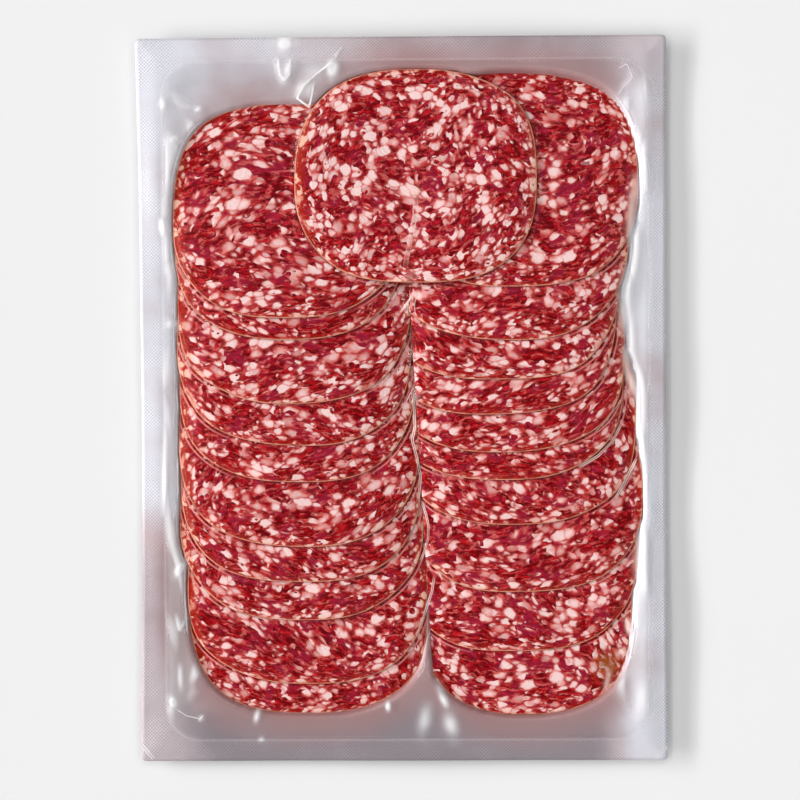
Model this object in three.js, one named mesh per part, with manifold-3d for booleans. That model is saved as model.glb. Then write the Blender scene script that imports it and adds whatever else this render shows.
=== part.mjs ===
import * as THREE from 'three';
import Module from 'manifold-3d';

// A flat sealed pack of sliced salami, lying face up: a shallow silvery base web, two columns of
// overlapping slices, one slice on top across both, and a clear lid film drawn down over them.
// Millimetres, +Z up. The slices are dealt from the -Y end to the +Y end, each on the one before.
// The origin lies on the surface that the pack rests on, under the middle of the pack.

// The pack, its sealed rim and the tray pressed into the base web.
const packWidth = 184;
const packLength = 252;
const packCorner = 1.5;
const edgeBow = { left: 1.2, right: 0.4 };
const seal = { left: 9.2, right: 5.7, top: 8, bottom: 7.5 };
const trayDepth = 4;
const trayCorner = 12;
const trayWallRun = 3;
const webThickness = 0.5;
const filmThickness = 0.35;
const gap = 0.3;

// The slices. A rim is the lowest point of a slice's outline along Y, from the bottom slice up.
const sliceWidth = 84;
const sliceLength = 75;
const sliceThickness = 1;
const sliceSquareness = 2.6;
const sliceUnevenness = 0.009;
const leftRims = [-110, -99, -76.5, -63.5, -50.5, -28.5, -16, -1, 21.5, 28.5];
const leftMargins = [-75.2, -75.2, -77.4, -77.6, -77.6, -77.6, -77.8, -78.2, -79.4, -79.7];
const rightRims = [-110.5, -88, -67, -43.5, -28, -18.5, -5.5, 6.5, 20.5, 39];
const rightMargins = [79.7, 82, 83.6, 81.8, 77, 77.3, 75, 75.5, 78.3, 82];
const bottomRightWidth = 74;
const centreSlice = { middleX: 5.4, rim: 40, clearance: 0.3 };

// The seam between the two columns leans towards +X at the -Y end.
const seamAtMiddle = 5.3;
const seamLean = -0.055;
const seamGap = 0.3;

// How the stack lies: a slice is a leaf that settles on the ones under it and droops at its sides.
const layerPitch = sliceThickness + gap;
const settleLength = 16;
const settleHeight = 0.75;
const sideDroop = 0.35;

// How finely the bodies are faceted.
const outlinePoints = 32;
const ringFractions = [0.55, 1];
const cornerSteps = 6;
const sideSteps = 4;

// How the film falls off a slice's rim, and how far its tools reach below the pack.
const skirtRun = 3;
const skirtFoot = 0.2;
const toolDepth = 2;

const wasm = await Module();
wasm.setup();

const trayFloor = webThickness;
const flangeTop = trayFloor + trayDepth;

// ---- Bodies made of rings, each ring a loop of points that runs anticlockwise from above ----

// The rings go from the underside's middle outwards, up the side and back in over the top.
function ringBody(rings, bottomMiddle, topMiddle) {
  const count = rings[0].length;
  const points = [...rings.flat(), bottomMiddle, topMiddle];
  const bottom = points.length - 2;
  const top = points.length - 1;
  const last = (rings.length - 1) * count;
  const faces = [];
  for (let i = 0; i < count; i++) {
    const next = (i + 1) % count;
    faces.push(bottom, next, i);
    for (let base = 0; base < last; base += count) {
      faces.push(base + i, base + next, base + count + next);
      faces.push(base + i, base + count + next, base + count + i);
    }
    faces.push(last + i, last + next, top);
  }
  return asGeometry(points.flatMap((point) => point.toArray()), faces);
}

function asGeometry(positions, faces) {
  const geometry = new THREE.BufferGeometry();
  geometry.setAttribute('position', new THREE.Float32BufferAttribute(positions, 3));
  geometry.setIndex(faces);
  geometry.computeVertexNormals();
  return geometry;
}

// ---- Joining and cutting ----

function asSolid(geometry) {
  const mesh = new wasm.Mesh({
    numProp: 3,
    vertProperties: new Float32Array(geometry.attributes.position.array),
    triVerts: new Uint32Array(geometry.index.array),
  });
  return new wasm.Manifold(mesh);
}

function fromSolid(solid) {
  const mesh = solid.getMesh();
  return asGeometry(Array.from(mesh.vertProperties), Array.from(mesh.triVerts));
}

function joined(geometries) {
  return geometries.map(asSolid).reduce((whole, solid) => whole.add(solid));
}

// ---- The rectangular outlines of the pack and its tray ----

// A rounded rectangle drawn in from the pack's edge by four insets, at one height.
function packRing(inset, corner, z) {
  const left = -packWidth / 2 + inset.left;
  const right = packWidth / 2 - inset.right;
  const top = packLength / 2 - inset.top;
  const bottom = -packLength / 2 + inset.bottom;
  const corners = [
    [right - corner, top - corner, 0],
    [left + corner, top - corner, Math.PI / 2],
    [left + corner, bottom + corner, Math.PI],
    [right - corner, bottom + corner, Math.PI * 1.5],
  ];
  const ring = [];
  for (const [x, y, start] of corners) {
    for (let step = 0; step <= cornerSteps; step++) {
      const angle = start + (step / cornerSteps) * (Math.PI / 2);
      ring.push(new THREE.Vector3(x + corner * Math.cos(angle), y + corner * Math.sin(angle), z));
    }
  }
  return withSidePoints(ring);
}

// Adds points along the four straight sides, so that the two long edges can bow in a little.
function withSidePoints(ring) {
  const cornerPoints = cornerSteps + 1;
  const filled = [];
  ring.forEach((point, i) => {
    filled.push(point);
    if (i % cornerPoints === cornerSteps) {
      const next = ring[(i + 1) % ring.length];
      for (let step = 1; step < sideSteps; step++) filled.push(point.clone().lerp(next, step / sideSteps));
    }
  });
  return filled.map(bowed);
}

function bowed(point) {
  const along = point.y / (packLength / 2 - packCorner);
  const across = point.x / (packWidth / 2);
  const bow = across > 0 ? edgeBow.right : edgeBow.left;
  const inwards = bow * across * Math.max(0, 1 - along * along);
  return new THREE.Vector3(point.x - inwards, point.y, point.z);
}

function evenly(amount) {
  return { left: amount, right: amount, top: amount, bottom: amount };
}

function sealInset(extra) {
  return {
    left: seal.left + extra,
    right: seal.right + extra,
    top: seal.top + extra,
    bottom: seal.bottom + extra,
  };
}

// ---- The slices ----

function seamX(y) {
  return seamAtMiddle + seamLean * y;
}

function seededRandom(seed) {
  let state = seed;
  return () => {
    state = (state * 1664525 + 1013904223) % 4294967296;
    return state / 4294967296;
  };
}

// Every slice is a rounded oblong, a little uneven in its own way.
function makeSlice(left, right, rim, seed) {
  const random = seededRandom(seed);
  const waves = [2, 3, 4].map((order) => ({ order, phase: random() * Math.PI * 2, size: random() }));
  return {
    middle: new THREE.Vector2((left + right) / 2, rim + sliceLength / 2),
    halfWidth: (right - left) / 2,
    waves,
  };
}

function makeColumn(side, rims, slices) {
  const middleX = slices.reduce((sum, slice) => sum + slice.middle.x, 0) / slices.length;
  return { side, rims, slices, middleX };
}

const leftColumn = makeColumn(
  'left',
  leftRims,
  leftRims.map((rim, i) => {
    const seamEnd = seamX(rim + sliceLength / 2) - seamGap;
    return makeSlice(leftMargins[i], seamEnd, rim, 11 + i);
  }),
);

// The right-hand slices are tucked against the seam, so their outlines stop there. The bottom one
// is a narrower cut, whose rounded corner shows beside the seam.
const rightColumn = makeColumn(
  'right',
  rightRims,
  rightRims.map((rim, i) => {
    const width = i === 0 ? bottomRightWidth : sliceWidth;
    const slice = makeSlice(rightMargins[i] - width, rightMargins[i], rim, 41 + i);
    return { ...slice, stopsAtSeam: true };
  }),
);

const acrossSlice = makeSlice(
  centreSlice.middleX - sliceWidth / 2,
  centreSlice.middleX + sliceWidth / 2,
  centreSlice.rim,
  71,
);

// Points of a slice's outline, let out by a margin all round.
function sliceOutline(slice, margin) {
  const outline = [];
  const power = 2 / sliceSquareness;
  for (let i = 0; i < outlinePoints; i++) {
    const angle = (i / outlinePoints) * Math.PI * 2;
    const uneven = slice.waves.reduce(
      (sum, wave) => sum + sliceUnevenness * wave.size * Math.sin(wave.order * angle + wave.phase),
      0,
    );
    const across = Math.sign(Math.cos(angle)) * Math.abs(Math.cos(angle)) ** power;
    const along = Math.sign(Math.sin(angle)) * Math.abs(Math.sin(angle)) ** power;
    const y = slice.middle.y + (sliceLength / 2) * (1 + uneven) * along + margin * along;
    let x = slice.middle.x + slice.halfWidth * (1 + uneven) * across + margin * across;
    if (slice.stopsAtSeam) x = Math.max(x, seamX(y) + seamGap - margin);
    outline.push(new THREE.Vector2(x, y));
  }
  return outline;
}

// The outline drawn in towards the slice's middle by a fraction, laid on a surface height(x, y).
function ringOn(slice, margin, fraction, height) {
  return sliceOutline(slice, margin).map((point) => {
    const at = slice.middle.clone().lerp(point, fraction);
    return new THREE.Vector3(at.x, at.y, height(at.x, at.y));
  });
}

function middleOn(slice, height) {
  const { x, y } = slice.middle;
  return new THREE.Vector3(x, y, height(x, y));
}

// The underside of one layer of a column. Each slice whose far end lies behind this place no
// longer holds it up, so a slice climbs from the tray floor to its rim.
function layerUnderside(column, layer) {
  return (x, y) => {
    const across = (x - column.middleX) / (sliceWidth / 2);
    const drooped = y + sideDroop * across * across * (sliceLength / 2);
    const passed = column.rims.reduce(
      (sum, rim) => sum + 0.5 + 0.5 * Math.tanh((drooped - rim - sliceLength) / settleLength),
      0,
    );
    return trayFloor + gap + layerPitch * (layer + settleHeight - passed);
  };
}

function raised(height, amount) {
  return (x, y) => height(x, y) + amount;
}

// The slice across the top lies on whichever column is higher, with a smooth saddle between.
function acrossUnderside(x, y) {
  const left = layerUnderside(leftColumn, leftRims.length - 1)(x, y);
  const right = layerUnderside(rightColumn, rightRims.length - 1)(x, y);
  const higher = (left + right + Math.hypot(left - right, 1)) / 2;
  const lowest = trayFloor + gap - layerPitch;
  return Math.max(higher, lowest) + layerPitch + centreSlice.clearance;
}

function sliceBody(slice, underside) {
  const top = raised(underside, sliceThickness);
  const below = ringFractions.map((fraction) => ringOn(slice, 0, fraction, underside));
  const above = ringFractions.map((fraction) => ringOn(slice, 0, fraction, top)).reverse();
  return ringBody([...below, ...above], middleOn(slice, underside), middleOn(slice, top));
}

// ---- The base web ----

function webBody() {
  const wall = webThickness;
  const rings = [
    packRing(sealInset(trayWallRun - wall), trayCorner - trayWallRun, 0),
    packRing(sealInset(-wall), trayCorner, flangeTop - webThickness),
    packRing(evenly(0), packCorner, flangeTop - webThickness),
    packRing(evenly(0), packCorner, flangeTop),
    packRing(sealInset(0), trayCorner, flangeTop),
    packRing(sealInset(trayWallRun), trayCorner - trayWallRun, trayFloor),
  ];
  return ringBody(rings, new THREE.Vector3(0, 0, 0), new THREE.Vector3(0, 0, trayFloor));
}

// ---- The lid film: what lies under its outer face, less what lies under its inner face ----

// The space under a film that is sealed to the rim and lines the tray.
function underTrayFilm(lift, edgeReach, bottom) {
  const wallGap = lift + trayWallRun;
  const rings = [
    packRing(evenly(-edgeReach), packCorner, bottom),
    packRing(evenly(-edgeReach), packCorner, flangeTop + lift),
    packRing(sealInset(lift), trayCorner, flangeTop + lift),
    packRing(sealInset(wallGap), trayCorner - trayWallRun, trayFloor + lift),
  ];
  const topMiddle = new THREE.Vector3(0, 0, trayFloor + lift);
  return ringBody(rings, new THREE.Vector3(0, 0, bottom), topMiddle);
}

// The space under a film that lies on a slice and falls from its rim in a short skirt.
function underSliceFilm(slice, underside, lift, bottom) {
  const surface = raised(underside, sliceThickness + lift);
  const foot = () => skirtFoot + lift;
  const rings = [
    ringOn(slice, lift + skirtRun, 1, () => bottom),
    ringOn(slice, lift + skirtRun, 1, foot),
    ...ringFractions.map((fraction) => ringOn(slice, lift, fraction, surface)).reverse(),
  ];
  return ringBody(rings, middleOn(slice, () => bottom), middleOn(slice, surface));
}

const layers = [leftColumn, rightColumn].flatMap((column) =>
  column.slices.map((slice, layer) => ({
    name: `slice_${column.side}_${String(column.slices.length - layer).padStart(2, '0')}`,
    slice,
    side: column.side,
    underside: layerUnderside(column, layer),
  })),
);
layers.push({ name: 'slice_centre', slice: acrossSlice, side: 'centre', underside: acrossUnderside });

function underFilm(lift, edgeReach, bottom) {
  const overSlices = layers.map(({ slice, underside }) => underSliceFilm(slice, underside, lift, bottom));
  return joined([underTrayFilm(lift, edgeReach, bottom), ...overSlices]);
}

function filmBody() {
  const outer = underFilm(gap + filmThickness, 0, -toolDepth);
  const inner = underFilm(gap, 1, -toolDepth - 1);
  return fromSolid(outer.subtract(inner));
}

// ---- Finishes and the finished pack ----

const meatColours = { left: 0xb75253, right: 0xae4b4d, centre: 0xb75d5e };

function meatFinish(side) {
  return new THREE.MeshStandardMaterial({ color: meatColours[side], roughness: 0.45, metalness: 0 });
}

function webFinish() {
  return new THREE.MeshStandardMaterial({ color: 0xc6bfc4, roughness: 0.35, metalness: 0.2 });
}

function filmFinish() {
  return new THREE.MeshStandardMaterial({
    color: 0xe9e7ec,
    roughness: 0.08,
    metalness: 0,
    transparent: true,
    opacity: 0.3,
  });
}

function addPiece(pack, name, geometry, finish) {
  const mesh = new THREE.Mesh(geometry, finish);
  mesh.name = name;
  pack.add(mesh);
}

const pack = new THREE.Group();
addPiece(pack, 'bottom_web', webBody(), webFinish());
for (const { name, slice, side, underside } of layers) {
  addPiece(pack, name, sliceBody(slice, underside), meatFinish(side));
}
addPiece(pack, 'lid_film', filmBody(), filmFinish());

export default pack;
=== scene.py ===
import math
import random

import bpy
import numpy as np
from mathutils import Matrix, Vector


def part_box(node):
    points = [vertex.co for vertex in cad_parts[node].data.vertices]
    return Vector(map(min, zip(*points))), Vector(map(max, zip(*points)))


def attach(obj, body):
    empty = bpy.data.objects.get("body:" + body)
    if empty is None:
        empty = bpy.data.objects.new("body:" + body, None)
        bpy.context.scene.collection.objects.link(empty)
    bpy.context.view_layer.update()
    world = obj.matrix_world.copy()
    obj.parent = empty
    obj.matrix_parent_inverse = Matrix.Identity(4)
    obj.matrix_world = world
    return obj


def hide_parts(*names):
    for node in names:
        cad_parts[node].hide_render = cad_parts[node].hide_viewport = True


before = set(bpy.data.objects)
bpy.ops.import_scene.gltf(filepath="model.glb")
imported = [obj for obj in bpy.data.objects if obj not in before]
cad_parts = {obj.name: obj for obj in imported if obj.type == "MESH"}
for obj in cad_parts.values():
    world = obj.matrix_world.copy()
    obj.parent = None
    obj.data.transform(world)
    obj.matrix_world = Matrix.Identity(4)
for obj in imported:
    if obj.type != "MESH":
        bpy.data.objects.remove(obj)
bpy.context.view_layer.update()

# A flat pack of sliced salami. Lengths are in millimetres here and are turned into metres
# where a mesh is made. +X is to the right, +Y towards the uppermost slices, +Z up.
mm = 0.001


def tone(red, green, blue):
    # screen values, 0 to 255, as the linear colour that a socket takes
    def linear(value):
        value /= 255
        return value / 12.92 if value <= 0.04045 else ((value + 0.055) / 1.055) ** 2.4

    return (linear(red), linear(green), linear(blue), 1)


# Shader expressions: a Wire is a socket that takes part in sums, a Finish is one material.


class Wire:
    def __init__(self, finish, socket):
        self.finish = finish
        self.socket = socket

    def other(self, output):
        return Wire(self.finish, self.socket.node.outputs[output])

    def __add__(self, more):
        return self.finish.maths("ADD", self, more)

    def __radd__(self, more):
        return self.finish.maths("ADD", more, self)

    def __sub__(self, less):
        return self.finish.maths("SUBTRACT", self, less)

    def __rsub__(self, whole):
        return self.finish.maths("SUBTRACT", whole, self)

    def __mul__(self, times):
        return self.finish.maths("MULTIPLY", self, times)

    def __rmul__(self, times):
        return self.finish.maths("MULTIPLY", times, self)

    def __truediv__(self, parts):
        return self.finish.maths("DIVIDE", self, parts)

    def __rtruediv__(self, whole):
        return self.finish.maths("DIVIDE", whole, self)

    def __pow__(self, power):
        return self.finish.maths("POWER", self, power)


class Finish:
    def __init__(self, name, kind="materials"):
        self.made = getattr(bpy.data, kind).new(name)
        self.made.use_nodes = True
        self.tree = self.made.node_tree
        self.tree.nodes.clear()

    def node(self, kind, settings=None, inputs=None, output=0):
        made = self.tree.nodes.new(kind)
        for key, value in (settings or {}).items():
            setattr(made, key, value)
        for key, value in (inputs or {}).items():
            if isinstance(value, Wire):
                self.tree.links.new(value.socket, made.inputs[key])
            else:
                made.inputs[key].default_value = value
        return Wire(self, made.outputs[output]) if made.outputs else None

    def maths(self, operation, first, second):
        pair = {0: first, 1: second}
        wires = [value for value in pair.values() if isinstance(value, Wire)]
        if any(wire.socket.type in ("VECTOR", "RGBA") for wire in wires):
            spread = {k: v if isinstance(v, (Wire, tuple)) else (v, v, v) for k, v in pair.items()}
            return self.node("ShaderNodeVectorMath", {"operation": operation}, spread)
        return self.node("ShaderNodeMath", {"operation": operation}, pair)

    def smaller(self, first, second):
        return self.maths("MINIMUM", first, second)

    def larger(self, first, second):
        return self.maths("MAXIMUM", first, second)

    def attribute(self, name, output="Fac"):
        return self.node("ShaderNodeAttribute", {"attribute_name": name}, output=output)

    def ease(self, value, low, high):
        # 0 at low, 1 at high, with a soft step between
        span = {"Value": value, "From Min": low, "From Max": high}
        return self.node("ShaderNodeMapRange", {"interpolation_type": "SMOOTHSTEP"}, span)

    def mix(self, share, first, second):
        return self.node("ShaderNodeMix", {"data_type": "RGBA"}, {0: share, 6: first, 7: second}, 2)

    def noise(self, place, size, detail=2.0, rough=0.5, output="Fac"):
        look = {"Vector": place, "Scale": 1 / size, "Detail": detail, "Roughness": rough}
        return self.node("ShaderNodeTexNoise", {"noise_dimensions": "2D"}, look, output)

    def bump(self, height, depth, onto=None):
        inputs = {"Height": height, "Distance": depth, "Strength": 1.0}
        if onto:
            inputs["Normal"] = onto
        return self.node("ShaderNodeBump", {}, inputs)

    def end(self, surface, kind="Material"):
        self.node("ShaderNodeOutput" + kind, {}, {"Surface": surface})
        return self.made


# Meshes


def makeMesh(name, points, faces, marks=None):
    # points are in millimetres; marks are numbers or vectors kept at each point
    mesh = bpy.data.meshes.new(name)
    mesh.from_pydata((np.asarray(points) * mm).tolist(), [], faces)
    for key, values in (marks or {}).items():
        values = np.asarray(values, dtype=np.float32)
        if values.ndim == 1:
            mesh.attributes.new(key, "FLOAT", "POINT").data.foreach_set("value", values)
        else:
            mesh.attributes.new(key, "FLOAT_VECTOR", "POINT").data.foreach_set("vector", values.ravel())
    mesh.shade_smooth()
    mesh.update()
    return mesh


def addPiece(name, mesh, material, slot, *nodes):
    mesh.materials.append(material)
    piece = bpy.data.objects.new(name, mesh)
    bpy.context.scene.collection.objects.link(piece)
    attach(piece, "root")
    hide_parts(*nodes)
    return piece


def ringFaces(ringCount, count):
    # quads between rings that follow each other, each an anticlockwise loop of count points
    here = np.arange(count)
    after = (here + 1) % count
    rows = []
    for ring in range(ringCount - 1):
        low, high = ring * count, (ring + 1) * count
        rows += np.stack([low + here, low + after, high + after, high + here], axis=1).tolist()
    return rows


# The pack's own sizes, which the solids share

pack = {
    "width": 184,
    "length": 252,
    "corner": 1.5,
    "bow": {"left": 1.2, "right": 0.4},  # how far the long edges draw in at their middles
    "seal": {"left": 9.2, "right": 5.7, "top": 8, "bottom": 7.5},
    "trayFloor": 0.5,
    "flangeTop": 4.5,
    "trayCorner": 12,
    "wallRun": 3,
}

stack = {
    "fullWidth": 84,
    "fullDepth": 75,
    "narrowCut": {"slice_right_10": 74},
    "squareness": 2.6,
    "unevenness": 0.006,
    "pitch": 1.3,  # from one slice to the next
    "thickness": 1.18,
    "gap": 0.3,
    "settleLength": 16,
    "settleHeight": 0.75,
    "sideDroop": 0.35,
    "seamAtMiddle": 5.3,
    "seamLean": -0.055,
    "seamGap": -0.4,
    "acrossClearance": 0.3,
    "waviness": 0.14,
}


def seamX(y):
    return stack["seamAtMiddle"] + stack["seamLean"] * y


def readSlice(node, seed):
    # a slice's middle and half sizes, from its solid
    low, high = (np.array(corner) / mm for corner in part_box(node))
    half = (high - low) / 2
    middle = (high + low) / 2
    tucked = "right" in node
    if tucked:  # its left-hand end is cut off by the seam
        half[0] = stack["narrowCut"].get(node, stack["fullWidth"]) / 2
        middle[0] = high[0] - half[0]
    draw = random.Random(seed)
    waves = [(order, draw.uniform(0, 6.28), draw.uniform(0.3, 1)) for order in (3, 4, 5, 7)]
    swells = [(draw.uniform(0, 6.28), draw.uniform(0.1, 0.34), draw.uniform(0, 6.28)) for i in range(5)]
    return {
        "node": node,
        "middle": middle[:2],
        "half": half[:2],
        "rim": low[1],
        "tucked": tucked,
        "waves": waves,
        "swells": swells,
        "seed": seed,
    }


def readColumn(side, firstSeed):
    # from the bottom slice up, as they were dealt
    names = [f"slice_{side}_{number:02d}" for number in range(10, 0, -1)]
    slices = [readSlice(name, firstSeed + i) for i, name in enumerate(names)]
    middleX = sum(piece["middle"][0] for piece in slices) / len(slices)
    return {"slices": slices, "middleX": middleX, "rims": [piece["rim"] for piece in slices]}


leftColumn = readColumn("left", 100)
rightColumn = readColumn("right", 200)
acrossSlice = readSlice("slice_centre", 300)


def layerUnderside(column, layer, x, y):
    # how high a layer's underside lies: it climbs from the tray floor to its rim
    across = (x - column["middleX"]) / (stack["fullWidth"] / 2)
    drooped = y + stack["sideDroop"] * across**2 * (stack["fullDepth"] / 2)
    beyond = drooped - stack["fullDepth"]
    passed = sum(0.5 + 0.5 * np.tanh((beyond - rim) / stack["settleLength"]) for rim in column["rims"])
    return pack["trayFloor"] + stack["gap"] + stack["pitch"] * (layer + stack["settleHeight"] - passed)


def acrossUnderside(x, y):
    left = layerUnderside(leftColumn, 9, x, y)
    right = layerUnderside(rightColumn, 9, x, y)
    higher = (left + right + np.hypot(left - right, 1)) / 2
    lowest = pack["trayFloor"] + stack["gap"] - stack["pitch"]
    return np.maximum(higher, lowest) + stack["pitch"] + stack["acrossClearance"]


for columnOf in (leftColumn, rightColumn):
    for layerOf, pieceOf in enumerate(columnOf["slices"]):
        pieceOf["underside"] = lambda x, y, c=columnOf, l=layerOf: layerUnderside(c, l, x, y)
acrossSlice["underside"] = acrossUnderside
allSlices = leftColumn["slices"] + rightColumn["slices"] + [acrossSlice]


def unevenness(piece, angle):
    return 1 + stack["unevenness"] * sum(
        size * np.sin(order * angle + phase) for order, phase, size in piece["waves"]
    )


def swell(piece, x, y):
    # the slow waves in a soft slice's top
    total = 0
    for heading, pace, phase in piece["swells"]:
        total = total + np.sin(pace * (x * math.cos(heading) + y * math.sin(heading)) + phase)
    return stack["waviness"] * total / 2


def sliceTop(piece, x, y):
    return piece["underside"](x, y) + stack["thickness"] + swell(piece, x, y)


def outline(piece, count):
    angle = np.arange(count) / count * 2 * math.pi
    power = 2 / stack["squareness"]
    reach = unevenness(piece, angle)
    across = np.sign(np.cos(angle)) * np.abs(np.cos(angle)) ** power
    along = np.sign(np.sin(angle)) * np.abs(np.sin(angle)) ** power
    x = piece["middle"][0] + piece["half"][0] * reach * across
    y = piece["middle"][1] + piece["half"][1] * reach * along
    if piece["tucked"]:
        x = np.maximum(x, seamX(y) + stack["seamGap"])
    return x, y


def inside(piece, x, y):
    # millimetres inside a slice's outline, negative outside it
    dx = (x - piece["middle"][0]) / piece["half"][0]
    dy = (y - piece["middle"][1]) / piece["half"][1]
    squareness = stack["squareness"]
    power = squareness / 2
    angle = np.arctan2(np.sign(dy) * np.abs(dy) ** power, np.sign(dx) * np.abs(dx) ** power)
    gauge = (np.abs(dx) ** squareness + np.abs(dy) ** squareness) ** (1 / squareness)
    gauge = gauge / unevenness(piece, angle)
    radius = np.hypot(x - piece["middle"][0], y - piece["middle"][1])
    depth = (1 - gauge) * radius / np.maximum(gauge, 0.05)
    if piece["tucked"]:
        depth = np.minimum(depth, x - seamX(y) - stack["seamGap"])
    return depth


# Salami slices

salami = {
    "points": 180,
    "rings": 20,
    "meanRadius": 39,
    "edgeRound": 0.2,
    "rimThin": 0.88,  # how much thinner a slice is pressed at its rim
    "rimReach": 3.5,
    "rimCrush": 0.8,  # how much the grain is drawn out along the rim
    "crushDepth": 9,
    "cutMark": 6.0,
    "deepMeat": tone(108, 0, 8),
    "meat": tone(162, 3, 10),
    "coolMeat": tone(152, 6, 28),
    "brightMeat": tone(196, 28, 36),
    "smear": tone(222, 104, 98),
    "haze": tone(164, 34, 64),
    "fat": tone(255, 218, 213),
    "pinkFat": tone(246, 160, 152),
    "halo": tone(216, 88, 82),
    "tanFat": tone(244, 182, 146),
    "casing": tone(230, 156, 124),
    "rimMeat": tone(178, 36, 8),
    # dark red, partly juice and partly painted shade: under the rims of slices above, and on the web under
    # the meat
    "juiceAndShade": tone(80, 0, 4),
    "sideMeat": tone(150, 34, 22),
    "brownMeat": tone(158, 84, 24),
    "brownSpot": (71.2, -92.8),  # a dried bit at the rim of the last slice on the right
    "brownReach": 4.24,
}


def sliceMesh(piece, above):
    count = salami["points"]
    edgeX, edgeY = outline(piece, count)
    middleX, middleY = piece["middle"]
    fractions = 1 - (1 - np.linspace(0.02, 1, salami["rings"])) ** 1.4
    edgeRound = salami["edgeRound"]
    atSeam = piece["tucked"] & (edgeX < seamX(edgeY) + stack["seamGap"] + 0.01)
    cutEnd = salami["cutMark"] * atSeam  # marked as if it lay well inside, so that it gets no casing
    rings, rims = [], []

    def addRing(depth, lift, fromTop, mark=None):
        fraction = 1 - depth / salami["meanRadius"]
        x = middleX + (edgeX - middleX) * fraction
        y = middleY + (edgeY - middleY) * fraction
        thinner = salami["rimThin"] * math.exp(-depth / salami["rimReach"])
        z = sliceTop(piece, x, y) - thinner if fromTop else piece["underside"](x, y)
        rings.append(np.stack([x, y, z + lift], axis=1))
        rims.append((depth if mark is None else mark) + cutEnd)

    depths = (1 - fractions) * salami["meanRadius"]
    for depth in depths[:-1:3]:
        addRing(depth, 0, False)
    addRing(edgeRound, 0, False)
    addRing(0, edgeRound, False, -1)
    addRing(0, -edgeRound, True, -1)
    addRing(0.3 * edgeRound, -0.3 * edgeRound, True)
    addRing(edgeRound, 0, True)
    for depth in depths[-2::-1]:
        addRing(depth, 0, True)
    points = np.concatenate(rings)
    rim = np.concatenate(rims)
    faces = ringFaces(len(rings), count)
    faces.append(list(range(count))[::-1])
    faces.append(list(range(len(points) - count, len(points))))

    # where a point lies in the sausage's own grain: turned, drawn out and moved for each slice
    draw = random.Random(piece["seed"] * 7)
    turn = draw.uniform(-0.4, 0.4)
    stretch = 1.05 if piece is acrossSlice else draw.uniform(1.15, 1.4)
    crushing = salami["rimCrush"] * salami["crushDepth"] / salami["meanRadius"]
    crush = 1 + crushing * np.exp(-rim / salami["crushDepth"])
    dx, dy = (points[:, 0] - middleX) * crush, (points[:, 1] - middleY) * crush
    alongX = (dx * math.cos(turn) + dy * math.sin(turn)) / stretch
    alongY = dy * math.cos(turn) - dx * math.sin(turn)
    moveX, moveY, swirl = draw.uniform(100, 900), draw.uniform(100, 900), draw.uniform(0, 6)
    bentX = alongX + 1.6 * np.sin(alongY * 0.16 + swirl) + moveX
    bentY = alongY + 1.6 * np.sin(alongX * 0.14 + swirl * 2) + moveY
    cut = np.stack([bentX, bentY, np.full(len(points), moveX)], axis=1)
    cover = np.full(len(points), -9.0)
    for upper in above:
        cover = np.maximum(cover, inside(upper, points[:, 0], points[:, 1]))
    ends = (points[:, 0] - middleX) / piece["half"][0]
    plenty = np.full(len(points), 1.0 if piece is acrossSlice else draw.uniform(0.66, 0.88))
    spotX, spotY = salami["brownSpot"]
    fromSpot = np.hypot(points[:, 0] - spotX, points[:, 1] - spotY)
    browned = np.exp(-((fromSpot / salami["brownReach"]) ** 2))
    marks = {"cut": cut, "rim": rim, "cover": cover, "ends": ends, "plenty": plenty, "browned": browned}
    return makeMesh(piece["node"].replace("slice", "salami"), points, faces, marks)


# Each size of fat grain: the distance between their middles, the share that is there, the least and
# the largest radius as a share of that distance, and how soft their edges are.
fatGrains = [
    {"pitch": 4.7, "share": 0.7, "least": 0.3, "most": 0.52, "soft": 0.13, "strength": 1.0},
    {"pitch": 3.4, "share": 0.54, "least": 0.28, "most": 0.5, "soft": 0.18, "strength": 0.95},
    {"pitch": 2.3, "share": 0.34, "least": 0.24, "most": 0.48, "soft": 0.28, "strength": 0.75},
]


def grainLayer(f, place, crowd, look):
    cells = {"Vector": place, "Scale": 1 / look["pitch"], "Randomness": 0.9}
    near = f.node("ShaderNodeTexVoronoi", {"voronoi_dimensions": "2D"}, cells, "Distance")
    edgeKind = {"voronoi_dimensions": "2D", "feature": "DISTANCE_TO_EDGE"}
    edge = f.node("ShaderNodeTexVoronoi", edgeKind, cells, "Distance")
    luck = f.node("ShaderNodeSeparateColor", {}, {"Color": near.other("Color")}, "Red")
    second, third = luck.other("Green"), luck.other("Blue")
    radius = look["least"] + (look["most"] - look["least"]) * second
    reach = f.smaller(radius - near, edge * 2.4 + 0.13 * third)
    there = f.ease(look["share"] * crowd - luck, 0.0, 0.02)
    return {
        "core": f.ease(reach, 0.0, look["soft"]) * there,
        "heart": f.ease(reach, 0.06, 0.32),
        "halo": f.ease(reach, -0.2, 0.06) * there,
        "luck": third,
    }


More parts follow.
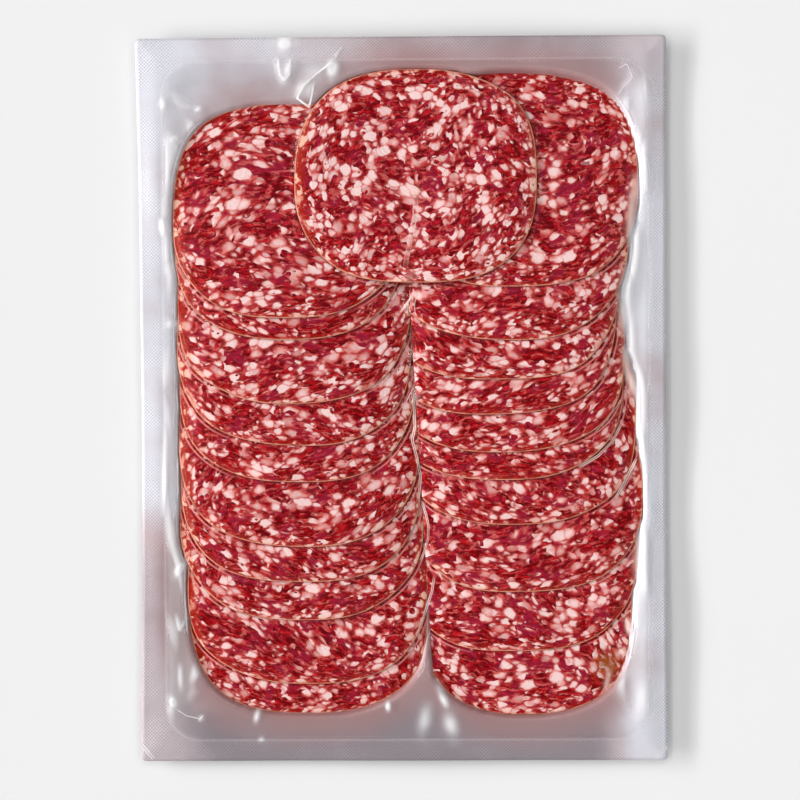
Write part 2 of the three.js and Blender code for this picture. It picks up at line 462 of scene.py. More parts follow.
def salamiFinish():
    f = Finish("salami")
    cut = f.attribute("cut", "Vector")
    rim = f.attribute("rim")
    cover = f.attribute("cover")
    ends = f.attribute("ends")
    drift = f.noise(cut, 6.0, 2.0, output="Color") - 0.5
    shiver = f.noise(cut, 1.9, 1.0, output="Color") - 0.5
    place = cut + drift * 3.2 + shiver * 0.9
    crowd = 0.05 + 1.6 * f.ease(f.noise(cut + 11.0, 9.0, 2.0, 0.6), 0.36, 0.62)
    plenty = f.attribute("plenty")
    crowd = crowd * plenty

    # lean meat: dark to bright, with drawn-out fibres, fatty smears and thin pale threads
    mottle = f.noise(place, 7.0, 3.0, 0.55)
    fibres = f.noise(place * (0.6, 1.5, 1.0) + 19.0, 2.0, 4.0, 0.62)
    innerMeat = f.mix(f.ease(rim + mottle * 12.0, 8.0, 26.0), salami["meat"], salami["coolMeat"])
    lean = f.mix(f.ease(fibres, 0.39, 0.58), salami["deepMeat"], innerMeat)
    lean = f.mix(f.ease(fibres, 0.52, 0.68), lean, salami["brightMeat"])
    lean = f.mix(f.ease(mottle, 0.5, 0.66) * 0.6, lean, salami["haze"])
    smears = f.ease(f.noise(place * (0.7, 1.3, 1.0) + 53.0, 2.2, 3.0, 0.62), 0.53, 0.68)
    lean = f.mix(smears * 0.75, lean, salami["smear"])
    thread = 1 - f.ease(f.maths("ABSOLUTE", mottle - 0.5, 0.0), 0.002, 0.014)
    lean = f.mix(thread * f.ease(fibres, 0.4, 0.6) * 0.5, lean, salami["smear"])

    # near the rim, and most of all at its left-hand end, the meat is dry and orange, and the fat tan
    rimNoise = f.noise(cut, 4.0, 2.0)
    flank = f.ease(-1 * ends, 0.8, 1.0) + f.ease(ends, 0.88, 1.0) * 0.5
    dryPatches = f.ease(rimNoise + flank * 0.2, 0.34, 0.56)
    nearRim = (1 - f.ease(rim + rimNoise * 3.0 - flank * 2.5, 1.0, 4.6)) * dryPatches
    lean = f.mix(nearRim * 0.7, lean, salami["rimMeat"])

    colour = lean
    fatness = None
    speckle = f.noise(cut, 1.1, 1.0)
    for number, look in enumerate(reversed(fatGrains)):
        grain = grainLayer(f, place + 37.0 * number, crowd, look)
        white = (grain["heart"] * 0.6 + grain["luck"] * 0.5 + speckle * 0.3) * (0.2 + 0.8 * plenty)
        tint = f.mix(f.ease(white, 0.2, 0.85), salami["pinkFat"], salami["fat"])
        tint = f.mix(nearRim * 0.8, tint, salami["tanFat"])
        colour = f.mix(grain["halo"] * 0.42 * look["strength"], colour, salami["halo"])
        dense = look["strength"] * (0.5 + 0.5 * f.ease(grain["luck"], 0.08, 0.5))
        colour = f.mix(grain["core"] * dense, colour, tint)
        fatness = grain["core"] if fatness is None else f.larger(grain["core"], fatness)

    # beside the rim of the slice above runs a dark line, partly juice and partly painted shade under that
    # rim, and at its ends a pale line that is a painted highlight of the film over that rim
    juiceAndShade = f.ease(cover, -0.9, -0.1)
    colour = f.mix(juiceAndShade * 0.3, colour, salami["juiceAndShade"])
    browned = f.attribute("browned") * (0.5 + 0.5 * f.ease(fibres, 0.36, 0.5))
    colour = f.mix(browned, colour, salami["brownMeat"])
    toEnds = f.ease(f.maths("ABSOLUTE", ends, 0.0), 0.45, 0.8)
    patchy = f.ease(rimNoise, 0.36, 0.56)
    # a pale pink line painted just beyond the rim of the slice above, towards the ends: a painted highlight
    # of the film
    rimHighlight = (1 - f.ease(f.maths("ABSOLUTE", cover + 1.15, 0.0), 0.12, 0.38)) * toEnds
    colour = f.mix(rimHighlight * 0.7, colour, salami["pinkFat"])
    skin = (1 - f.ease(rim, 0.2, 0.55)) * (0.55 + 0.45 * patchy)
    colour = f.mix(skin, colour, salami["casing"])
    colour = f.mix(1 - f.ease(rim, -0.7, -0.1), colour, salami["sideMeat"])

    shape = {
        "Base Color": colour,
        "Roughness": 0.5 - 0.12 * fatness,
        "Normal": f.bump(speckle, 0.00015),
        "Specular IOR Level": 0.06,
    }
    return f.end(f.node("ShaderNodeBsdfPrincipled", {}, shape))


salamiMaterial = salamiFinish()
for piece in allSlices:
    if piece is acrossSlice:
        above = []
    else:
        column = leftColumn if piece in leftColumn["slices"] else rightColumn
        layer = column["slices"].index(piece)
        above = column["slices"][layer + 1 : layer + 3] + [acrossSlice]
    mesh = sliceMesh(piece, above)
    addPiece(mesh.name, mesh, salamiMaterial, "salami", piece["node"])
print("slices made:", len(allSlices))


# The film and the web share one grid of points over the pack.

sheet = {
    "grid": 0.62,
    "webThickness": 0.5,
    "lift": 0.06,
    "tightBend": 0.3,  # how sharply the film may curve over the meat, per millimetre
    "seamBend": 0.1,  # along the seam between the columns
    "seamReach": 2.4,
    "slackBend": 0.03,  # over the margins
    "rimSlope": 1.6,
    "marginSag": 0.9,
    "webGap": 0.15,
    "rimSag": 0.9,
    "looseRim": 8,  # how far in from the pack's edge it waves
    "leastWeb": 0.3,
}


def smooth(value, low, high):
    share = np.clip((value - low) / (high - low), 0, 1)
    return share * share * (3 - 2 * share)


def patch(value, middle, half):
    # 1 at the middle, fading out on both sides
    return np.exp(-(((value - middle) / half) ** 2))


def bowed(x, y):
    along = y / (pack["length"] / 2 - pack["corner"])
    across = x / (pack["width"] / 2)
    bow = np.where(across > 0, pack["bow"]["right"], pack["bow"]["left"])
    return x - bow * across * np.maximum(0, 1 - along**2)


def sheetGrid():
    halfWidth, halfLength, corner = pack["width"] / 2, pack["length"] / 2, pack["corner"]
    across = np.linspace(-1, 1, int(2 * halfWidth / sheet["grid"] / 2) * 2 + 1) * halfWidth
    along = np.linspace(-1, 1, int(2 * halfLength / sheet["grid"] / 2) * 2 + 1) * halfLength
    x, y = np.meshgrid(across, along)
    outX = np.maximum(np.abs(x) - halfWidth + corner, 0)
    outY = np.maximum(np.abs(y) - halfLength + corner, 0)
    drawIn = np.maximum(outX, outY) / np.maximum(np.hypot(outX, outY), 0.001)
    inCorner = (outX > 0) & (outY > 0)
    x = np.where(inCorner, np.sign(x) * (halfWidth - corner + outX * drawIn), x)
    y = np.where(inCorner, np.sign(y) * (halfLength - corner + outY * drawIn), y)
    return bowed(x, y), y


def gridFaces(rows, columns, first=0, downwards=False):
    index = first + np.arange(rows * columns).reshape(rows, columns)
    corners = [index[:-1, :-1], index[:-1, 1:], index[1:, 1:], index[1:, :-1]]
    if downwards:
        corners = corners[::-1]
    return np.stack(corners, axis=-1).reshape(-1, 4).tolist()


def rimWave(x, y):
    # the loose rim of the pack waves and sags a little
    edge = np.minimum(pack["width"] / 2 - np.abs(x), pack["length"] / 2 - np.abs(y))
    nearness = smooth(-edge, -sheet["looseRim"], 1)
    wave = 0.32 * np.sin(0.045 * x + 1.0) + 0.28 * np.sin(0.052 * y + 0.4)
    wave = wave + 0.2 * np.sin(0.09 * (x + y))
    return nearness * (wave - sheet["rimSag"])


def intoTray(x, y):
    # millimetres inwards from the seal, with the tray's rounded corners
    seal, corner = pack["seal"], pack["trayCorner"]
    left, right = -pack["width"] / 2 + seal["left"], pack["width"] / 2 - seal["right"]
    low, high = -pack["length"] / 2 + seal["bottom"], pack["length"] / 2 - seal["top"]
    dx = np.maximum(np.maximum(left + corner - x, x - right + corner), 0)
    dy = np.maximum(np.maximum(low + corner - y, y - high + corner), 0)
    return corner - np.hypot(dx, dy)


def shifted(field, step, axis):
    # the field moved along an axis, its edge values drawn out
    moved = np.roll(field, step, axis=axis)
    if step:
        edge = np.take(field, [0] if step > 0 else [-1], axis=axis)
        index = [slice(None)] * 2
        index[axis] = slice(0, step) if step > 0 else slice(step, None)
        moved[tuple(index)] = edge
    return moved


def drawnOver(heights, bend):
    # the lowest sheet over the heights whose hollows curve no more than bend
    result = heights
    for best, sign in ((np.maximum, -1), (np.minimum, 1)):
        reach = int(math.sqrt(9 / bend) / sheet["grid"]) + 1
        for axis in (0, 1):
            start = result
            for step in range(-reach, reach + 1):
                lift = sign * bend * (step * sheet["grid"]) ** 2
                result = best(result, shifted(start, step, axis) + lift)
    return result


gridX, gridY = sheetGrid()
gridInto = intoTray(gridX, gridY)
gridAway = -np.max([inside(piece, gridX, gridY) for piece in allSlices], axis=0)


def filmHeights():
    x, y = gridX, gridY
    ground = pack["flangeTop"] - sheet["marginSag"] * smooth(gridInto, 0, 9)
    for piece in allSlices:
        depth = inside(piece, x, y)
        thinner = salami["rimThin"] * np.exp(-np.maximum(depth, 0) / salami["rimReach"])
        top = sliceTop(piece, x, y) - thinner + np.minimum(depth, 0) * sheet["rimSlope"]
        ground = np.where(depth > -6, np.maximum(ground, top), ground)
    tight = drawnOver(ground, sheet["tightBend"])
    slack = drawnOver(ground, sheet["slackBend"])
    seamShare = patch(x, seamX(y), sheet["seamReach"]) * smooth(-gridAway, 0, 2)
    tight = tight + (drawnOver(ground, sheet["seamBend"]) - tight) * seamShare
    share = smooth(gridAway, 0, 4)
    return tight + (slack - tight) * share


gridFilm = filmHeights()


# Base web

web = {
    # lit, middle and shaded tones of the web, chosen by the painted reflection and shade
    "brightTone": tone(242, 242, 250),
    "midTone": tone(204, 186, 190),
    "shadedWebTone": tone(138, 124, 132),
    # reddish near the meat: partly smeared fat and juice, partly a painted reflection of the meat
    "smearAndReflectionTone": tone(184, 122, 118),
    "hatchPitch": 0.85,
}


def sealMark():
    # 1 on the sealed rim, 0 over the tray
    return smooth(-gridInto, -0.4, 0.6)


def webPaintedLight(x, y):
    # how light the web looks, painted reflection and shade: lighter at the left and in patches at the
    # right, darker at the bottom
    glow = 0.5 - 0.48 * smooth(-y, 90, 116) * smooth(84 - np.abs(x), 0, 22)
    glow = glow - 0.24 * smooth(y, 100, 116) * smooth(x, -30, 10) * smooth(-x, -88, -66)
    glow = glow + smooth(-x, 62, 84) * (0.02 + 0.34 * smooth(y, -56, -24) - 0.2 * patch(y, -66, 20))
    glow = glow + smooth(-x, -4, 60) * smooth(y, 92, 122) * 0.26
    patches = 0.4 * patch(y, 50, 32) + 0.4 * patch(y, -44, 26) + 0.35 * patch(y, -112, 18) + 0.2
    glow = glow + smooth(x, 66, 84) * patches
    return np.clip(glow, 0, 1)


def webMesh():
    x, y, film, away, into = (field[::2, ::2] for field in (gridX, gridY, gridFilm, gridAway, gridInto))
    floor, flange = pack["trayFloor"], pack["flangeTop"]
    rise = smooth(away, -0.7, 0.5)
    highest = film - sheet["webGap"]
    top = np.where(into < 0, flange, floor + (highest - floor) * rise) + rimWave(x, y)
    top = np.minimum(top, np.where(into < 0, top, highest + rimWave(x, y)))
    top = np.maximum(top, floor)
    fall = smooth(into + sheet["webThickness"], 0, pack["wallRun"])
    under = (flange - sheet["webThickness"]) * (1 - fall) + rimWave(x, y) * (1 - fall)
    rows, columns = x.shape
    count = rows * columns
    upper = np.stack([x, y, top], axis=-1).reshape(-1, 3)
    lower = np.stack([x, y, np.clip(under, 0, top - sheet["leastWeb"])], axis=-1).reshape(-1, 3)
    faces = gridFaces(rows, columns) + gridFaces(rows, columns, count, True)
    index = np.arange(count).reshape(rows, columns)
    border = np.concatenate([index[0, :-1], index[:-1, -1], index[-1, :0:-1], index[:0:-1, 0]])
    after = np.roll(border, -1)
    faces += np.stack([border + count, after + count, after, border], axis=1).tolist()
    marks = {"away": away, "seal": sealMark()[::2, ::2], "glow": webPaintedLight(x, y)}
    marks = {key: np.tile(field.ravel(), 2) for key, field in marks.items()}
    return makeMesh("base_web", np.concatenate([upper, lower]), faces, marks)


def hatching(f, place, seal, patches):
    # the fine crossed lines that the sealing bars press in, clear in patches
    lines = []
    for slant in (1.0, -1.0):
        parts = f.node("ShaderNodeSeparateXYZ", {}, {0: place}, "X")
        sweep = (parts + parts.other("Y") * slant) * (2 * math.pi / (web["hatchPitch"] * 1.414 * mm))
        lines.append(f.maths("SINE", sweep, 0.0))
    return (lines[0] + lines[1]) * seal * (0.3 + 0.7 * f.ease(patches, 0.42, 0.56))


def webFinish():
    f = Finish("base web")
    place = f.node("ShaderNodeTexCoord", {}, {}, "Object")
    away = f.attribute("away")
    seal = f.attribute("seal")
    glow = f.attribute("glow")
    cloud = f.noise(place, 22 * mm, 3.0)
    crossed = hatching(f, place, seal, cloud)
    glow = glow + (cloud - 0.5) * 0.5
    # lighter where the painted light is high, darker where it is low: painted reflection and shade
    colour = f.mix(f.ease(glow, 0.0, 0.55), web["shadedWebTone"], web["midTone"])
    colour = f.mix(f.ease(glow, 0.45, 1.0), colour, web["brightTone"])
    # reddish near the meat, more where the web is darker: partly smear, partly a painted reflection of the
    # meat
    meatSmearAndReflection = 1 - f.ease(away + cloud * 6.0, 3.0, 19.0)
    colour = f.mix(meatSmearAndReflection * f.ease(1 - glow, 0.1, 0.65) * 0.8, colour, web["smearAndReflectionTone"])
    # dark red under the meat: partly juice stain, partly painted shade
    colour = f.mix(f.ease(-1 * away, 0.1, 1.2) * 0.85, colour, salami["juiceAndShade"])
    # the crossed lines also lighten and darken the colour: painted light and shade of the pressed-in lines
    colour = colour * (0.9 + crossed * 0.12)
    height = crossed * 0.5 + f.noise(place, 3 * mm, 2.0) * 0.3
    shape = {
        "Base Color": colour,
        "Roughness": 0.36 + 0.12 * cloud,
        "Metallic": 0.1,
        "Normal": f.bump(height, 0.00006),
    }
    return f.end(f.node("ShaderNodeBsdfPrincipled", {}, shape))


addPiece("base_web", webMesh(), webFinish(), "base_web", "bottom_web")
print("base web made")


# Lid film

film = {
    "wrinkles": 0.9,
    "gloss": 0.1,
    # white of the milky film over the margins and of the painted highlights; over the meat the painted
    # highlights are pinker
    "milkAndHighlight": tone(250, 248, 250),
    "pinkHighlight": tone(250, 214, 204),
}

# Creases are raised folds with thin pale lines painted on as highlights, one or a pair on both sides of a
# gap: points in millimetres.
creaseHighlights = [
    {"path": [(5.2, 71.5), (5, 64), (3.6, 57), (2.2, 50), (1.4, 45.6)], "gap": 0.7, "milkAndHighlight": 0.55,
     "height": 0.25},
    {"path": [(5.2, 38), (2.6, 34.5), (-0.8, 30)], "gap": 0.2, "milkAndHighlight": 0.6, "height": 0.2},
    {"path": [(5.6, 38.5), (4.6, 33), (5, 28.5)], "gap": 0, "milkAndHighlight": 0.5, "height": 0.2},
    {"path": [(3.4, 5), (4.2, -2), (4.5, -9), (3.5, -14), (4.9, -19.3), (6.3, -26.3), (5.9, -31.5),
              (4.9, -37)], "gap": 0.3, "milkAndHighlight": 0.7, "height": 0.25},
    {"path": [(4.2, 5), (1.8, 0), (0, -4)], "gap": 0, "milkAndHighlight": 0.7, "height": 0.2},
    {"path": [(6.6, -35), (8.2, -40), (9, -44), (8.8, -48.5), (7.4, -53), (5.9, -56.5)], "gap": 0.26,
     "milkAndHighlight": 0.65, "height": 0.25},
    {"path": [(11, -61), (10, -67), (8.4, -71.6), (6.6, -77.4), (4.2, -83.7)], "gap": 0.28, "milkAndHighlight": 0.6,
     "height": 0.25},
    {"path": [(9.4, -80.2), (7.2, -87.2), (6.2, -92.4)], "gap": 0, "milkAndHighlight": 0.6, "height": 0.2},
    {"path": [(76.2, -0.3), (71, -7.2), (66.3, -12)], "gap": 0, "milkAndHighlight": 0.7, "height": 0.2},
    {"path": [(76.2, -8.5), (73.2, -14.5), (68, -19.7), (61.1, -23.7)], "gap": 0.3, "milkAndHighlight": 1.1,
     "height": 0},
    {"path": [(81.4, -20.6), (77, -29.4), (73.5, -35.3)], "gap": 0.3, "milkAndHighlight": 1.2, "height": 0},
    {"path": [(-22.6, 119), (-24.7, 116.4), (-29, 113.3), (-33.4, 109.4), (-35.8, 105), (-31.6, 101.8),
              (-30.6, 106), (-29.6, 111.9)], "gap": 0.16, "milkAndHighlight": 1.5, "height": 0.4},
    {"path": [(-42.4, 119), (-41.6, 113), (-40, 111.2), (-38.4, 113), (-38, 119)], "gap": 0.2, "milkAndHighlight": 1.4,
     "height": 0.4},
    {"path": [(-19.8, 123), (-22.8, 118.6)], "gap": 0.3, "milkAndHighlight": 0.7, "height": 0.2},
    {"path": [(84.6, 84.5), (85.7, 78), (85.9, 71)], "gap": 0.6, "milkAndHighlight": 0.9, "height": 0.3},
    {"path": [(75.2, 114.4), (78.4, 115.8), (80.4, 111.2), (77, 107.8), (75.2, 105)], "gap": 0, "milkAndHighlight": 0.8,
     "height": 0.4},
    {"path": [(-92, 121), (-88, 125.6)], "gap": 0.5, "milkAndHighlight": 0.8, "height": 0},
    {"path": [(-92, -120), (-87.5, -125.5)], "gap": 0.4, "milkAndHighlight": 0.8, "height": 0},
    {"path": [(92, -121), (87.6, -125.6)], "gap": 0.4, "milkAndHighlight": 0.8, "height": 0},
    {"path": [(-79.5, -107.6), (-76, -110), (-69, -111.6)], "gap": 0, "milkAndHighlight": 0.6, "height": 0.3},
]

# Gleams are rounded folds painted white as highlights: points in millimetres and their half width.
gleams = [
    {"path": [(-79.5, 92), (-78, 90)], "half": 1.3, "milkAndHighlight": 0.85},
    {"path": [(-80.6, 87), (-81, 72), (-82.4, 62)], "half": 1.2, "milkAndHighlight": 0.45},
    {"path": [(-82.6, 105.5), (-82.3, 101)], "half": 0.9, "milkAndHighlight": 0.85},
    {"path": [(-83.6, 64), (-82.8, 57.5)], "half": 0.8, "milkAndHighlight": 0.85},
    {"path": [(-80.4, 49), (-79.8, 44), (-80.2, 37)], "half": 1.0, "milkAndHighlight": 0.85},
    {"path": [(-80.8, 28.5), (-79, 25.5)], "half": 1.3, "milkAndHighlight": 0.9},
    {"path": [(-81.6, 18), (-82, 5)], "half": 1.1, "milkAndHighlight": 0.9},
    {"path": [(-82.4, -9), (-83, -28), (-83.6, -40)], "half": 0.7, "milkAndHighlight": 0.75},
    {"path": [(-79.6, -61.4), (-76.4, -56)], "half": 1.1, "milkAndHighlight": 0.85},
    {"path": [(-79.2, -74.6), (-78, -79.5), (-75.8, -76)], "half": 0.6, "milkAndHighlight": 0.8},
    {"path": [(-78, -92), (-77.8, -101)], "half": 0.6, "milkAndHighlight": 1.0},
    {"path": [(-81.2, -103.4), (-80, -107)], "half": 0.9, "milkAndHighlight": 1.0},
    {"path": [(82, 93.5), (82.4, 88)], "half": 0.8, "milkAndHighlight": 0.6},
    {"path": [(81.2, 77), (79.8, 64), (79, 54)], "half": 1.2, "milkAndHighlight": 0.8},
    {"path": [(78, 46), (77, 31), (77.4, 23)], "half": 1.5, "milkAndHighlight": 0.9},
    {"path": [(77.2, 18), (78, 10), (81, 1)], "half": 1.1, "milkAndHighlight": 0.8},
    {"path": [(82, -6), (83.4, -18), (84.4, -26)], "half": 0.8, "milkAndHighlight": 0.6},
    {"path": [(83.6, -44), (82.4, -56), (83.4, -66), (81.8, -72)], "half": 1.5, "milkAndHighlight": 0.95},
    {"path": [(83.2, -99), (82, -112)], "half": 1.5, "milkAndHighlight": 0.45},
    {"path": [(78, -76.5), (78.8, -82)], "half": 0.7, "milkAndHighlight": 0.9},
    {"path": [(76.8, -87.4), (75.6, -88.8)], "half": 0.9, "milkAndHighlight": 0.8},
    {"path": [(71.8, -94.6), (70.6, -100.6)], "half": 0.7, "milkAndHighlight": 0.9},
    {"path": [(-43, 123.6), (-37, 123.6)], "half": 2.4, "milkAndHighlight": 0.8},
    {"path": [(-42.2, 118), (-40, 112), (-37.8, 118)], "half": 1.6, "milkAndHighlight": 0.6},
    {"path": [(-23, 119.5), (-24, 112)], "half": 1.5, "milkAndHighlight": 0.95},
    {"path": [(-27, 116), (-33, 110), (-34.6, 103)], "half": 2.6, "milkAndHighlight": 0.5},
    {"path": [(-71, 102), (-69.6, 100.6)], "half": 0.9, "milkAndHighlight": 0.7},
    {"path": [(-50.8, -108), (-51.8, -112.4)], "half": 0.7, "milkAndHighlight": 1.0},
    {"path": [(-49.8, -117.8), (-49.8, -118.8)], "half": 0.8, "milkAndHighlight": 0.9},
    {"path": [(-71.2, -110.6), (-70.6, -111)], "half": 0.8, "milkAndHighlight": 0.9},
    {"path": [(-5.6, -105.4), (-5.4, -108.4)], "half": 0.6, "milkAndHighlight": 0.85},
    {"path": [(11.6, -98.6), (15.4, -108)], "half": 0.9, "milkAndHighlight": 0.9},
    {"path": [(8.4, -107), (6.2, -118)], "half": 1.6, "milkAndHighlight": 0.5},
    {"path": [(15.4, -108), (17.4, -118.5)], "half": 1.8, "milkAndHighlight": 0.5},
    {"path": [(4.8, 72.4), (5.4, 70.4)], "half": 1.3, "milkAndHighlight": 0.6},
    {"path": [(2, 44), (4.6, 42)], "half": 1.6, "milkAndHighlight": 0.35},
    {"path": [(5.4, 3), (5.2, -1)], "half": 1.0, "milkAndHighlight": 0.35},
]


def alongPath(path):
    # signed distance from a path over the grid, and how near its middle the nearest point is, 0 to 1
    nearest = np.full(gridX.shape, 1e9)
    signed = np.zeros(gridX.shape)
    share = np.zeros(gridX.shape)
    points = np.array(path, dtype=float)
    lengths = np.hypot(*np.diff(points, axis=0).T)
    total, before = lengths.sum(), 0
    for start, step, length in zip(points[:-1], np.diff(points, axis=0), lengths):
        dx, dy = gridX - start[0], gridY - start[1]
        t = np.clip((dx * step[0] + dy * step[1]) / length**2, 0, 1)
        distance = np.hypot(dx - t * step[0], dy - t * step[1])
        closer = distance < nearest
        nearest = np.where(closer, distance, nearest)
        signed = np.where(closer, np.sign(dx * step[1] - dy * step[0]) * distance, signed)
        share = np.where(closer, (before + t * length) / total, share)
        before += length
    return signed, np.sin(np.clip(share, 0, 1) * math.pi)


def waves(x, y, seed):
    # slow seeded waves about 0.5, their crests about 1 apart
    draw = random.Random(seed)
    total = 0
    for number in range(10):
        heading, pace, phase = draw.uniform(0, 6.28), draw.uniform(2.5, 6.5), draw.uniform(0, 6.28)
        total = total + np.sin(pace * (x * math.cos(heading) + y * math.sin(heading)) + phase)
    return 0.5 + total * 0.055


def filmMesh():
    height = gridFilm.copy()
    side = smooth(np.abs(gridX) / (pack["width"] / 2) - np.abs(gridY) / (pack["length"] / 2), -0.05, 0.05)
    margin = smooth(gridAway, 0.2, 2.5) * smooth(gridInto, -1, 2)
    upright, level = waves(gridX / 6, gridY / 26, 5), waves(gridX / 26, gridY / 8, 6)
    wrinkle = level + (upright - level) * side
    height += film["wrinkles"] * wrinkle * margin
    # how white the gleams are painted, as highlights
    milkAndHighlight = np.zeros(height.shape)
    nearest = np.full(height.shape, 9.0)
    line = np.zeros(height.shape + (3,))
    line[..., 0] = 9
    for creaseHighlight in creaseHighlights:
        signed, taper = alongPath(creaseHighlight["path"])
        distance = np.abs(signed)
        taper = np.clip(taper * 3, 0, 1)
        height += creaseHighlight["height"] * np.exp(-((distance / (0.9 + creaseHighlight["gap"])) ** 2)) * taper
        closer = distance < nearest
        nearest = np.where(closer, distance, nearest)
        fade = np.clip(1.6 - distance / 2, 0, 1)
        gap = np.full(height.shape, creaseHighlight["gap"])
        found = np.stack([signed, gap, creaseHighlight["milkAndHighlight"] * taper * fade], axis=-1)
        line = np.where(closer[..., None], found, line)
    for gleam in gleams:
        signed, taper = alongPath(gleam["path"])
        taper = 0.25 + 0.75 * taper
        shape = np.exp(-((np.abs(signed) / (gleam["half"] * 1.25)) ** 2)) * taper
        height += 0.25 * shape
        milkAndHighlight = np.maximum(milkAndHighlight, gleam["milkAndHighlight"] * shape)
    z = height + sheet["lift"] + rimWave(gridX, gridY)
    points = np.stack([gridX, gridY, z], axis=-1).reshape(-1, 3)
    marks = {
        "milkAndHighlight": milkAndHighlight.ravel(),
        "seal": sealMark().ravel(),
        "away": gridAway.ravel(),
        "side": side.ravel(),
        "margin": margin.ravel(),
        "wrinkle": wrinkle.ravel(),
        "cloud": waves(gridX / 12, gridY / 12, 7).ravel(),
        "line": line.reshape(-1, 3),
    }
    return makeMesh("lid_film", points, gridFaces(*gridX.shape), marks)


def filmFinish():
    f = Finish("clear film")
    seal, milkAndHighlight, away, side, margin, wrinkle, cloud = (
        f.attribute(name) for name in ("seal", "milkAndHighlight", "away", "side", "margin", "wrinkle", "cloud")
    )
    parts = f.node("ShaderNodeSeparateXYZ", {}, {0: f.attribute("line", "Vector")}, "X")
    gap, strength = parts.other("Y"), parts.other("Z")
    offPath = f.maths("ABSOLUTE", parts, 0.0)
    patchy = f.ease(cloud, 0.34, 0.6)
    # white lines along the creases and a faint band between a pair: painted highlights
    creaseHighlight = 1 - f.ease(f.maths("ABSOLUTE", offPath - gap, 0.0), 0.04, 0.26)
    creaseHighlight = creaseHighlight * strength * (0.4 + 0.6 * patchy)
    ribbon = (1 - f.ease(offPath, gap, gap + 0.3)) * strength * 0.16
    # a pale line along the meat's edge and white streaks along the side margins' wrinkles: painted
    # highlights
    edgeHighlight = (1 - f.ease(f.maths("ABSOLUTE", away - 0.95, 0.0), 0.12, 0.4)) * patchy * side
    streakHighlight = f.ease(wrinkle, 0.48, 0.66) * margin * side
    # white over the gleams: painted highlights
    gleamHighlight = milkAndHighlight * (0.55 + 0.9 * f.ease(wrinkle, 0.3, 0.62))
    # the white layer: painted highlights, and a milky film over the margins and seal
    haze = f.larger(f.larger(gleamHighlight, streakHighlight * 0.5), f.larger(creaseHighlight, edgeHighlight * 0.7))
    boundary = seal * (1 - seal) * 0.5
    haze = f.smaller(haze + ribbon + margin * (0.1 + 0.2 * side) + seal * 0.1 + boundary, 0.94)

    clear = f.node("ShaderNodeBsdfTransparent", {}, {"Color": (0.97, 0.97, 0.98, 1)})
    gloss = f.node("ShaderNodeBsdfGlossy", {}, {"Roughness": film["gloss"]})
    facing = f.node("ShaderNodeLayerWeight", {}, {"Blend": 0.5}, "Facing")
    sheen = facing**5 * (0.25 + 0.55 * margin) + 0.014 + 0.05 * margin
    shiny = f.node("ShaderNodeMixShader", {}, {0: sheen, 1: clear, 2: gloss})
    overMeat = f.ease(-1 * away, 0.0, 1.0)
    milkAndHighlightTone = f.mix(overMeat, film["milkAndHighlight"], film["pinkHighlight"])
    dull = {"Base Color": milkAndHighlightTone, "Roughness": 1.0, "Specular IOR Level": 0.0}
    milkAndHighlightLayer = f.node("ShaderNodeBsdfPrincipled", {}, dull)
    return f.end(f.node("ShaderNodeMixShader", {}, {0: haze, 1: shiny, 2: milkAndHighlightLayer}))


addPiece("film_over_slices", filmMesh(), filmFinish(), "clear_film", "lid_film")
print("lid film made")


# Floor, light and camera

# Each window is a bright patch of the studio's walls, all in parts of 1 of a unit sphere: how high up
# it starts and ends, the direction of its middle in degrees from +X, its half width and brightness.
studio = {
    "floorTone": 0.86,
    "wallTone": 0.87,
    "fill": 0.18,
    "ring": (0.58, 0.64),
    "ringGlow": 0.72,
    "hood": (0.92, 0.96),
    "windows": [
        {"low": 0.21, "high": 0.4, "towards": 178, "half": 34, "glow": 14},
        {"low": 0.26, "high": 0.3, "towards": 178, "half": 28, "glow": 40},
        {"low": 0.7, "high": 0.88, "towards": 100, "half": 50, "glow": 1.4},
        {"low": 0.83, "high": 0.87, "towards": 175, "half": 30, "glow": 8},
        {"low": 0.83, "high": 0.87, "towards": 0, "half": 26, "glow": 5},
        {"low": 0.4, "high": 0.56, "towards": -90, "half": 30, "glow": 1.6},
    ],
    "cameraHeight": 1.0,
    "cameraLean": (1.3, 2.0),
    "cameraRoll": -0.3,
    "framedWidth": 278.0,
    "aim": (-0.66, 0.1, 5),
}


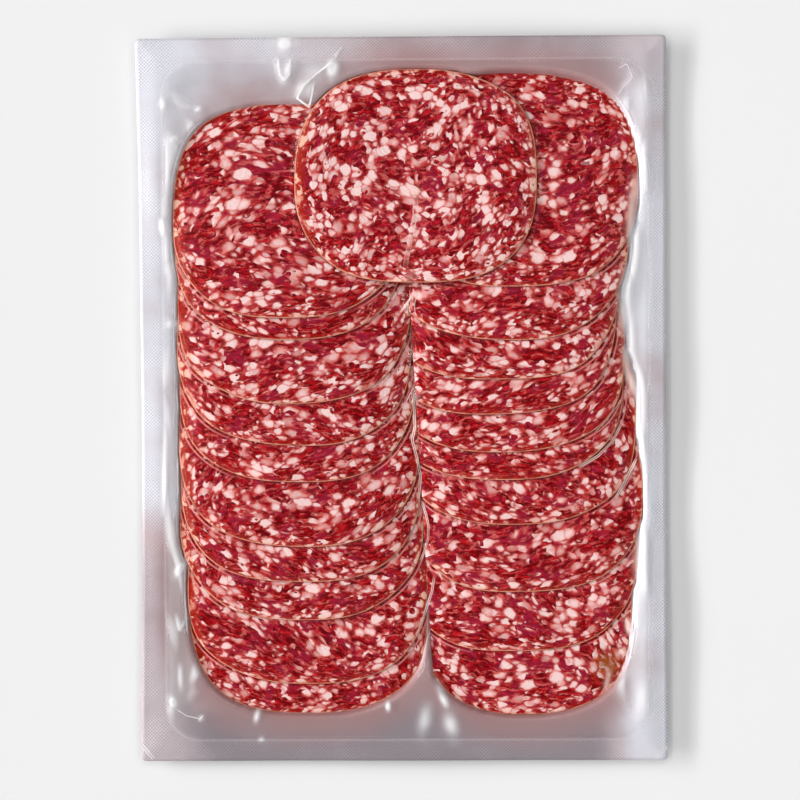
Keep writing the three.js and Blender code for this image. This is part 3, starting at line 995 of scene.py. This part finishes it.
def makeFloor():
    half = 4 / mm
    corners = [(-half, -half, 0), (half, -half, 0), (half, half, 0), (-half, half, 0)]
    mesh = makeMesh("pale_floor", corners, [(0, 1, 2, 3)])
    f = Finish("pale floor")
    place = f.node("ShaderNodeTexCoord", {}, {}, "Object")
    grey = f.noise(place, 0.12, 3.0) * 0.012 + studio["floorTone"]
    colour = f.node("ShaderNodeCombineColor", {}, {0: grey, 1: grey, 2: grey})
    paint = {"Base Color": colour, "Roughness": 0.8}
    mesh.materials.append(f.end(f.node("ShaderNodeBsdfPrincipled", {}, paint)))
    floor = bpy.data.objects.new("pale_floor", mesh)
    bpy.context.scene.collection.objects.link(floor)


def makeWorld():
    # soft walls with bright windows, dark overhead where the camera stands
    f = Finish("studio", "worlds")
    way = f.node("ShaderNodeTexCoord", {}, {}, "Generated")
    x = f.node("ShaderNodeSeparateXYZ", {}, {0: way}, "X")
    y, z = x.other("Y"), x.other("Z")
    glow = studio["fill"] + f.ease(z, *studio["ring"]) * studio["ringGlow"]
    glow = glow * (1 - f.ease(z, *studio["hood"]) * 0.95)
    for window in studio["windows"]:
        heading = math.radians(window["towards"])
        level = f.maths("SQRT", f.larger(1 - z * z, 0.0001), 0.0)
        ahead = (x * math.cos(heading) + y * math.sin(heading)) / level
        reach = math.cos(math.radians(window["half"]))
        height = f.ease(z, window["low"] - 0.02, window["low"] + 0.02)
        height = height * (1 - f.ease(z, window["high"] - 0.02, window["high"] + 0.02))
        glow = glow + height * f.ease(ahead, reach - 0.04, reach + 0.04) * window["glow"]
    seen = f.node("ShaderNodeLightPath", {}, {}, "Is Camera Ray")
    glow = glow * (1 - seen) + seen * studio["wallTone"]
    light = f.node("ShaderNodeBackground", {}, {"Strength": glow})
    bpy.context.scene.world = f.end(light, "World")


def makeCamera():
    camera = bpy.data.cameras.new("camera")
    leanRight, leanUp = (math.radians(angle) for angle in studio["cameraLean"])
    height = studio["cameraHeight"]
    aim = Vector(studio["aim"]) * mm
    camera.lens = camera.sensor_width * height / (studio["framedWidth"] * mm)
    camera.clip_end = 50
    thing = bpy.data.objects.new("camera", camera)
    bpy.context.scene.collection.objects.link(thing)
    turn = Matrix.Rotation(-leanUp, 4, "X") @ Matrix.Rotation(leanRight, 4, "Y")
    place = Matrix.Translation(aim + turn @ Vector((0, 0, height)))
    thing.matrix_world = place @ turn @ Matrix.Rotation(math.radians(studio["cameraRoll"]), 4, "Z")
    bpy.context.scene.camera = thing


makeFloor()
makeWorld()
makeCamera()
bpy.context.scene.view_settings.view_transform = "Standard"
print("floor, light and camera made")
